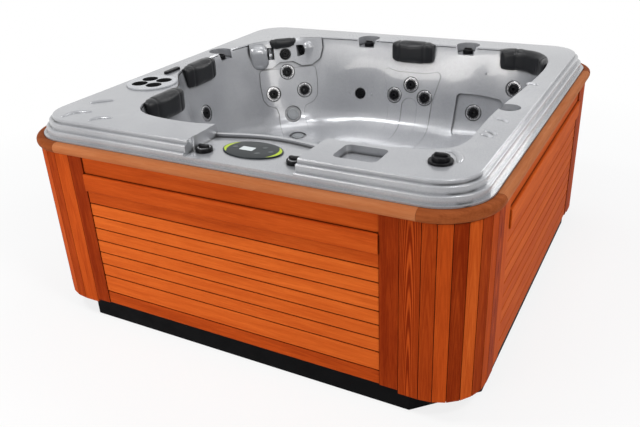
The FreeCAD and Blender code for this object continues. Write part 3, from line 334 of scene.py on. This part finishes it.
def cedar(name, stretch, colors):
    """Oiled cedar: grain along the axis that is stretched least, and long rings where it is figured, with painted
    shade darkening the colour in the gaps between boards.
    """
    made, tree, shader = finish(name, colors[0], 0.58, Specular_IOR_Level=0.02)
    place = add(tree, "Attribute", attribute_name="own_place")
    own = add(tree, "Attribute", attribute_name="tone")
    strong = add(tree, "Attribute", attribute_name="figure")
    turn = add(tree, "Mapping", Scale=stretch)
    heart = add(tree, "Mapping")
    length = stretch.index(min(stretch))
    heart.inputs["Scale"].default_value = stretch
    heart.inputs["Scale"].default_value[length] *= heart_pull
    heart.inputs["Location"].default_value[length] = heart_offset
    moved = add(tree, "VectorMath", operation="ADD")
    tree.links.new(place.outputs["Vector"], turn.inputs["Vector"])
    tree.links.new(place.outputs["Vector"], heart.inputs["Vector"])
    tree.links.new(turn.outputs[0], moved.inputs[0])
    tree.links.new(combine(tree, "MULTIPLY", own.outputs["Fac"], grain_shift), moved.inputs[1])
    grain = add(tree, "TexNoise", Scale=2.2, Detail=6.0, Roughness=0.6, Distortion=0.3)
    fibre = add(tree, "TexNoise", Scale=13.0, Detail=4.0, Roughness=0.7)
    rings = add(tree, "TexWave", Scale=4.2, Distortion=2.2, Detail=2.0, Detail_Scale=0.7)
    rings.wave_type = "RINGS"
    rings.rings_direction = "SPHERICAL"
    marks = []
    for texture, source, low, high in ((grain, moved, -0.16, 0.16), (fibre, moved, -0.1, 0.1),
                                       (rings, heart, -0.05, 0.09)):
        spread = add(tree, "MapRange", From_Min=0.25, From_Max=0.75, To_Min=low, To_Max=high, clamp=False)
        tree.links.new(source.outputs[0], texture.inputs["Vector"])
        tree.links.new(texture.outputs["Fac"], spread.inputs["Value"])
        marks.append(spread.outputs[0])
    toned = combine(tree, "MULTIPLY_ADD", marks[2], strong.outputs["Fac"], own.outputs["Fac"])
    for mark in marks[:2]:
        toned = combine(tree, "ADD", toned, mark)
    ramp = add(tree, "ValToRGB")
    steps = ramp.color_ramp.elements
    steps[0].color = (*colors[0], 1)
    steps[1].color = (*colors[2], 1)
    steps.new(0.5).color = (*colors[1], 1)
    painted_gap_shade = add(tree, "VectorMath", operation="SCALE")
    tree.links.new(toned, ramp.inputs[0])
    tree.links.new(ramp.outputs[0], painted_gap_shade.inputs[0])
    # Painted shade: ambient occlusion darkens the cedar colour in the gaps between boards and in inner corners.
    tree.links.new(crevice(tree, 0.01, 0.5, 0.9, 0.22), painted_gap_shade.inputs["Scale"])
    tree.links.new(painted_gap_shade.outputs[0], shader.inputs["Base Color"])
    roughen(tree, shader, fibre.outputs[0], 0.2, 0.0005)
    return made


def front_board(middle):
    """Dark stiles, a darker board above the pale slats, and a dark foot board whose darkness is painted shade at
    the bottom of the panel.
    """
    if abs(middle.x) > stile_inner:
        return 0.9, 0.2
    if middle.z > top_board_from:
        return 0.5, 0.2
    # Painted shade: the foot board gets a dark tone that stands in for the shade at the foot of the panel.
    if middle.z < foot_board_to:
        return 0.6, 0.4
    return 0.16 + 0.18 * chance(middle), 0.15


def side_board(middle):
    """Even boards with one dark stile towards the back."""
    return (0.78, 0.2) if middle.y > stile_inner else (0.28 + 0.14 * chance(middle), 0.15)


def panel(node, look, axis, pick):
    """Framed panel: rails and slats in one look, and stiles with upright grain."""
    piece = dress(node, look, panel_edge)
    piece.data.materials.append(upright)
    for face in piece.data.polygons:
        face.material_index = int(abs(face.center[axis]) > stile_inner)
    board_tones(piece, pick)


def stave(middle):
    """Staves swing between pale orange and red brown; the flat boards beside the panels are figured."""
    side, front = abs(middle.x) - corner_run, abs(middle.y) - corner_run
    if min(side, front) < 0:
        return (0.8, 2.2) if middle.y < 0 < middle.x else (0.5 + 0.3 * chance(middle), 0.6)
    return stave_tones[int(math.atan2(side, front) / stave_turn)] + 0.1 * chance(middle), 0.4


across = cedar("cedar_across", grain_across, cedar_tones)
deep = cedar("cedar_deep", grain_deep, cedar_tones)
upright = cedar("cedar_upright", grain_upright, cedar_tones)
for node in ("access_panel_frame", "access_panel_slats", "back_panel"):
    panel(node, across, 0, front_board)
for node in ("right_panel", "left_panel"):
    panel(node, deep, 1, side_board)
board_tones(dress("corner_staves", upright, stave_edge), stave)

# Top rail: thick cedar boards with a rounded nose, paler than the cladding, and darker corner blocks.
# They lie on the cabinet's frame, and the shell's lip rests on them.
rail_edge = 0.001
rail_tones = ((0.5, 0.2, 0.085), (0.36, 0.1, 0.03), (0.17, 0.036, 0.009))
rail_across = cedar("rail_across", grain_across, rail_tones)
rail_deep = cedar("rail_deep", grain_deep, rail_tones)
for node, tone in (("top_rail_boards", 0.3), ("top_rail_corners", 0.72)):
    rail = dress(node, rail_across, rail_edge)
    board_tones(rail, lambda middle: (tone + 0.1 * chance(middle), 0.1))
    if node == "top_rail_boards":
        rail.data.materials.append(rail_deep)
        for face in rail.data.polygons:
            face.material_index = int(abs(face.center.x) > abs(face.center.y))

# Shell: one vacuum-formed sheet of silver pearl acrylic, polished, with fine metallic flakes.
# It hangs by its stepped rim, and the foam blocks carry its bowl. Its colour is darkened in its inner corners as
# painted shade, but not on the open steps of the rim.
rim_from = 0.94
rim_to = 0.955
shell_crease = 30.0
pearl, pearl_tree, pearl_shader = finish("silver_pearl", (0.33, 0.335, 0.35), 0.27, Metallic=0.25,
                                         Coat_Weight=0.5, Coat_Roughness=0.05, Specular_IOR_Level=0.75)
pearl_tone = add(pearl_tree, "ValToRGB")
pearl_tone.color_ramp.elements[0].color = (0.3, 0.305, 0.322, 1)
pearl_tone.color_ramp.elements[1].color = (0.37, 0.375, 0.39, 1)
pearl_place = add(pearl_tree, "TexCoord")
pearl_size = add(pearl_tree, "VectorMath", operation="ABSOLUTE")
pearl_axes = add(pearl_tree, "SeparateXYZ")
on_rim = add(pearl_tree, "MapRange", From_Min=rim_from, From_Max=rim_to, To_Max=0.92)
pearl_painted_shade = add(pearl_tree, "VectorMath", operation="SCALE")
pearl_tree.links.new(speckle(pearl_tree, 3.0, 0.0, 1.0, 4.0), pearl_tone.inputs[0])
pearl_tree.links.new(pearl_place.outputs["Object"], pearl_size.inputs[0])
pearl_tree.links.new(pearl_size.outputs[0], pearl_axes.inputs[0])
pearl_reach = combine(pearl_tree, "MAXIMUM", pearl_axes.outputs["X"], pearl_axes.outputs["Y"])
pearl_tree.links.new(pearl_reach, on_rim.inputs["Value"])
# Painted shade: ambient occlusion darkens the pearl colour in inner corners and creases, held off on the rim's
# steps.
corner_shade = crevice(pearl_tree, 0.018, 0.5, 0.88, 0.2)
pearl_shade = combine(pearl_tree, "MAXIMUM", on_rim.outputs[0], corner_shade)
pearl_tree.links.new(pearl_tone.outputs[0], pearl_painted_shade.inputs[0])
pearl_tree.links.new(pearl_shade, pearl_painted_shade.inputs["Scale"])
pearl_tree.links.new(pearl_painted_shade.outputs[0], pearl_shader.inputs["Base Color"])
pearl_tree.links.new(speckle(pearl_tree, 700.0, 0.22, 0.34, 2.0), pearl_shader.inputs["Roughness"])
dress("shell", pearl, crease=shell_crease)

# Moulded marks on the deck: low tapered ridges at the right edge, beside the diverter and in the
# front left corner, and small dots on the back wall. They belong to the same sheet as the shell.
deck_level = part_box("shell")[1][2]
ridge_half = 0.0155
ridge_rise = 0.75
ridge_sink = 0.0035
ridge_sides = 10
ridges = (
    ((0.848, -0.452), (0.875, -0.45), (0.904, -0.482)),
    ((0.846, -0.49), (0.87, -0.487), (0.896, -0.515)),
    ((0.85, -0.31), (0.876, -0.296), (0.908, -0.331)),
    ((0.85, 0.2), (0.876, 0.215), (0.9, 0.2)),
    ((0.785, -0.706), (0.815, -0.69), (0.852, -0.738), (0.862, -0.79)),
    ((-0.867, -0.73), (-0.84, -0.69), (-0.786, -0.655)),
    ((-0.839, -0.924), (-0.838, -0.85), (-0.76, -0.818)),
    ((-0.69, -0.92), (-0.68, -0.868), (-0.617, -0.85)),
)
dot_radius = 0.006
dots = ((-0.277, 0.721, 0.634), (-0.141, 0.727, 0.634), (0.514, 0.774, 0.805))


def ridge(shape, corners):
    """Ridge along a rounded path: oval rings that swell towards the middle, joined one to the next."""
    path = [Vector((*corner, deck_level - ridge_sink)) for corner in corners]
    for _ in range(3):
        cut = [first.lerp(then, share) for first, then in zip(path, path[1:]) for share in (0.25, 0.75)]
        path = [path[0], *cut, path[-1]]
    up = Vector((0, 0, 1))
    last = len(path) - 1
    loops = []
    for i, point in enumerate(path):
        along = (path[min(i + 1, last)] - path[max(i - 1, 0)]).normalized()
        wide = ridge_half * math.sin(math.pi * (i + 0.6) / (last + 1.2)) ** 0.6
        oval = Matrix((-up * ridge_rise * wide, along.cross(up) * wide, along)).transposed().to_4x4()
        ring = bmesh.ops.create_circle(shape, cap_ends=i in (0, last), segments=ridge_sides, radius=1.0,
                                       matrix=Matrix.Translation(point) @ oval)
        loops.append(dict.fromkeys(side for vert in ring["verts"] for side in vert.link_edges))
    for loop, following in zip(loops, loops[1:]):
        for face in bmesh.ops.bridge_loops(shape, edges=[*loop, *following])["faces"]:
            face.smooth = True


shape = bmesh.new()
for corners in ridges:
    ridge(shape, corners)
for place in dots:
    bmesh.ops.create_icosphere(shape, subdivisions=2, radius=dot_radius, matrix=Matrix.Translation(place))
bmesh.ops.recalc_face_normals(shape, faces=shape.faces)
deck_marks = piece_of("deck_marks", shape, pearl)
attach(deck_marks, "tub")

# Jets: bright metal bezels round black plastic nozzles that turn, and plain black ones at the neck.
# Each sits in a pocket of the shell, in front of its body on the other side.
black_face = 0.033
bright, bright_tree, bright_shader = finish("bright_bezel", (0.42, 0.42, 0.43), 0.2, Metallic=0.85)
bright_tree.links.new(speckle(bright_tree, 60.0, 0.14, 0.3), bright_shader.inputs["Roughness"])
satin_black = moulded_plastic("satin_black", (0.004, 0.004, 0.005), 0.34, Specular_IOR_Level=0.12)
jets = {joint["name"]: (Vector(joint["pos_m"]), Vector(joint["axis"]))
        for joint in frame["joints"] if joint["name"].startswith("jet_")}
bezels = dress("jet_bezels", bright)
bezels.data.materials.append(satin_black)
for face in bezels.data.polygons:
    name = min(jets, key=lambda jet: (face.center - jets[jet][0]).length)
    spot, axis = jets[name]
    away = face.center - spot
    if name.startswith("jet_neck") or (away - axis * away.dot(axis)).length < black_face:
        face.material_index = 1
for node in list(frame["nodes"]):
    if node.startswith("jet_nozzle_"):
        dress(node, satin_black)

# Neck recesses: in front of each outer neck jet the collar is hollowed along the jet's axis, as a
# shallow trough of the same pearl sheet. The collar's face, where the middle jet sits, cuts it off.
trough_radius = 0.0348
trough_length = 0.0425
trough_ahead = 0.014
trough_sink = 0.0005
trough_wall = 0.0015
collar_point, collar_way = jets["jet_neck_middle_turn"]
shape = bmesh.new()
for name in ("jet_neck_left_turn", "jet_neck_right_turn"):
    spot, axis = jets[name]
    facing = axis.to_track_quat("Z", "Y").to_matrix().to_4x4()
    place = Matrix.Translation(spot + axis * trough_ahead) @ facing
    bmesh.ops.create_cone(shape, cap_ends=True, segments=72, radius1=trough_radius, radius2=trough_radius,
                          depth=trough_length, matrix=place)
bmesh.ops.bisect_plane(shape, geom=shape.verts[:] + shape.edges[:] + shape.faces[:], clear_outer=True,
                       plane_co=collar_point - collar_way * trough_sink, plane_no=collar_way)
bmesh.ops.solidify(shape, geom=shape.faces[:], thickness=-trough_wall)
bmesh.ops.recalc_face_normals(shape, faces=shape.faces)
neck_recesses = piece_of("neck_recesses", shape, pearl)
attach(neck_recesses, "tub")

# Covers: grey discs below the corner seat's jets and black suction grilles, of moulded plastic,
# let into the shell.
dress("disc_covers", moulded_plastic("disc_grey", (0.24, 0.25, 0.26), 0.4))
dress("suction_covers", satin_black)

# Pillows: moulded foam with a charcoal skin, crowned, with a pressed groove near each end.
# Each pegs into the wall under the rim.
charcoal, charcoal_tree, charcoal_shader = finish("charcoal_skin", (0.008, 0.0085, 0.01), 0.34,
                                                  Sheen_Weight=0.06, Sheen_Roughness=0.4,
                                                  Specular_IOR_Level=0.32)
charcoal_tree.links.new(speckle(charcoal_tree, 9.0, 0.28, 0.46), charcoal_shader.inputs["Roughness"])
roughen(charcoal_tree, charcoal_shader, speckle(charcoal_tree, 420.0, 0.0, 1.0, 3.0), 0.3, 0.0004)
foam_grid = 0.005
swell_pressure = 4.0
swell_frames = 12
swell_limit = 0.004
groove_depth = 0.0035
groove_half = 0.006
straight_share = 0.31
corner_groove = 0.055
bend_middle = Vector((0.668, 0.59, 0.0))
bend_radius = 0.19
bend_turn = math.radians(53)
bend_groove_turn = math.radians(36)


def applied(piece):
    """The piece's mesh with its modifiers worked in."""
    return bpy.data.meshes.new_from_object(piece.evaluated_get(bpy.context.evaluated_depsgraph_get()))


def plump(node, inward, groove_at):
    """Pillow grown from its CAD solid: remeshed, swollen as cloth under pressure, then grooved."""
    piece = dress(node, charcoal)
    even = piece.modifiers.new("even_mesh", "REMESH")
    even.mode = "VOXEL"
    even.voxel_size = foam_grid
    piece.data = applied(piece)
    piece.modifiers.clear()
    cloth = piece.modifiers.new("swell", "CLOTH")
    cloth.settings.quality = 4
    cloth.settings.use_pressure = True
    cloth.settings.uniform_pressure_force = swell_pressure
    cloth.settings.effector_weights.gravity = 0.0
    for step in range(1, swell_frames + 1):
        scene.frame_set(step)
    swollen = applied(piece)
    piece.modifiers.clear()
    scene.frame_set(1)
    for vert, loose in zip(piece.data.vertices, swollen.vertices):
        move = loose.co - vert.co
        move -= inward * min(0.0, move.dot(inward))
        if move.length > swell_limit:
            move *= swell_limit / move.length
        vert.co += move
    shape = bmesh.new()
    shape.from_mesh(piece.data)
    for _ in range(4):
        bmesh.ops.smooth_vert(shape, verts=shape.verts, factor=0.5,
                              use_axis_x=True, use_axis_y=True, use_axis_z=True)
    shape.normal_update()
    for vert in shape.verts:
        near = groove_at(vert.co)
        vert.co -= vert.normal * groove_depth * math.exp(-(near / groove_half) ** 2)
    for face in shape.faces:
        face.smooth = True
    shape.to_mesh(piece.data)
    shape.free()
    finer = piece.modifiers.new("finer", "SUBSURF")
    finer.levels = finer.render_levels = 1


def middle_of(node):
    """Middle of a node's box."""
    low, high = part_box(node)
    return (Vector(low) + Vector(high)) / 2


def straight_grooves(node, axis):
    """Distance of a point to the nearer of two grooves across a straight pillow."""
    low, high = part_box(node)
    middle = middle_of(node)[axis]
    reach = straight_share * (high[axis] - low[axis])
    return lambda point: abs(abs(point[axis] - middle) - reach)


def corner_grooves(point):
    """Distance of a point to the nearer of two grooves across the corner pillow."""
    return abs(abs((point - chair_middle).dot(chair_across)) - corner_groove)


def bend_grooves(point):
    """Distance of a point to the nearer of two grooves across the curved pillow, along its bend."""
    turn = math.atan2(point.y - bend_middle.y, point.x - bend_middle.x) - bend_turn
    return abs(abs(turn) - bend_groove_turn) * bend_radius


for node, inward, axis in (("pillow_front_left", Vector((1, 0, 0)), 1),
                           ("pillow_left", Vector((1, 0, 0)), 1),
                           ("pillow_back", Vector((0, -1, 0)), 0)):
    plump(node, inward, straight_grooves(node, axis))
chair_middle = middle_of("pillow_corner")
chair_across = (jets["jet_neck_right_turn"][0] - jets["jet_neck_left_turn"][0]).normalized()
chair_way = Vector((chair_across.y, -chair_across.x, 0.0))
plump("pillow_corner", chair_way, corner_grooves)
plump("pillow_right_corner", Vector((-0.7071, -0.7071, 0.0)), bend_grooves)

# Filter lid: a round moulded lid in the deck with four dark wells for cups, over the filter,
# and the black waterfall bar beside it.
cup_reach = 0.0985
lid_skin = 0.0015
lid_middle = middle_of("filter_lid")
lid_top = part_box("filter_lid")[1][2]
lid = dress("filter_lid", moulded_plastic("lid_grey", (0.42, 0.43, 0.45), 0.28, Coat_Weight=0.4))
lid.data.materials.append(moulded_plastic("cup_black", (0.01, 0.01, 0.011), 0.4))
for face in lid.data.polygons:
    if lid_top - face.center.z > lid_skin and (face.center - lid_middle).xy.length < cup_reach:
        face.material_index = 1
dress("waterfall_bar", satin_black)

# Control panel: a dark slate oval with lime crescents at its ends, a pale display and four soft keys.
# It is let into the ledge, and its face is printed.
slate_color = (0.014, 0.018, 0.02)
lime_color = (0.42, 0.55, 0.02)
lime_half = (0.123, 0.074)
slate_half = (0.107, 0.09)
panel_middle = middle_of("control_panel")
slate, slate_tree, slate_shader = finish("panel_slate", slate_color, 0.34, Specular_IOR_Level=0.18)
slate_place = add(slate_tree, "TexCoord")
slate_axes = add(slate_tree, "SeparateXYZ")
slate_tree.links.new(slate_place.outputs["Object"], slate_axes.inputs[0])


def oval_reach(half):
    """1 on the edge of an oval round the panel's middle, less inside it."""
    squares = []
    for axis in range(2):
        away = combine(slate_tree, "SUBTRACT", slate_axes.outputs[axis], panel_middle[axis])
        share = combine(slate_tree, "DIVIDE", away, half[axis])
        squares.append(combine(slate_tree, "MULTIPLY", share, share))
    return combine(slate_tree, "SQRT", combine(slate_tree, "ADD", *squares))


in_lime = combine(slate_tree, "LESS_THAN", oval_reach(lime_half), 1.0)
past_slate = combine(slate_tree, "GREATER_THAN", oval_reach(slate_half), 1.0)
crescent = combine(slate_tree, "MULTIPLY", in_lime, past_slate)
print_tone = add(slate_tree, "Mix", data_type="RGBA")
inks = [socket for socket in print_tone.inputs if socket.type == "RGBA"]
for socket, color in zip(inks, (slate_color, lime_color)):
    socket.default_value = (*color, 1)
slate_tree.links.new(crescent, print_tone.inputs[0])
printed = next(socket for socket in print_tone.outputs if socket.type == "RGBA")
slate_tree.links.new(printed, slate_shader.inputs["Base Color"])
dress("control_panel", slate)
dress("display_window", moulded_plastic("display_pale", (0.62, 0.66, 0.66), 0.2))
soft_key = moulded_plastic("key_grey", (0.05, 0.058, 0.06), 0.4, Specular_IOR_Level=0.3)
for node in ("jets_key", "warmer_key", "cooler_key", "light_key"):
    dress(node, soft_key)

# Knobs: black moulded grips on the ledge, in the rim's scallops and on the diverter.
# The two air knobs on the ledge carry a thin silver ring round their grip.
ring_inner = 0.0185
ring_outer = 0.025
ring_drop = 0.0098
ring_thick = 0.001
air_knobs = ("air_knob_left", "air_knob_right")
for node in (*air_knobs, "rim_knob_left", "rim_knob_back_left", "rim_knob_back_right",
             "diverter_knob", "diverter_valve_body"):
    dress(node, satin_black)
knob_silver = finish("knob_silver", (0.62, 0.62, 0.63), 0.25, Metallic=0.7)[0]
for node in air_knobs:
    seat = middle_of(node)
    seat.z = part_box(node)[1][2] - ring_drop
    shape = bmesh.new()
    for reach in (ring_inner, ring_outer):
        bmesh.ops.create_circle(shape, segments=48, radius=reach, matrix=Matrix.Translation(seat))
    bmesh.ops.bridge_loops(shape, edges=shape.edges)
    shape.normal_update()
    bmesh.ops.reverse_faces(shape, faces=[face for face in shape.faces if face.normal.z < 0])
    ring = piece_of(node + "_ring", shape, knob_silver)
    body = ring.modifiers.new("body", "SOLIDIFY")
    body.thickness = ring_thick
    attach(ring, body_of_node[node])
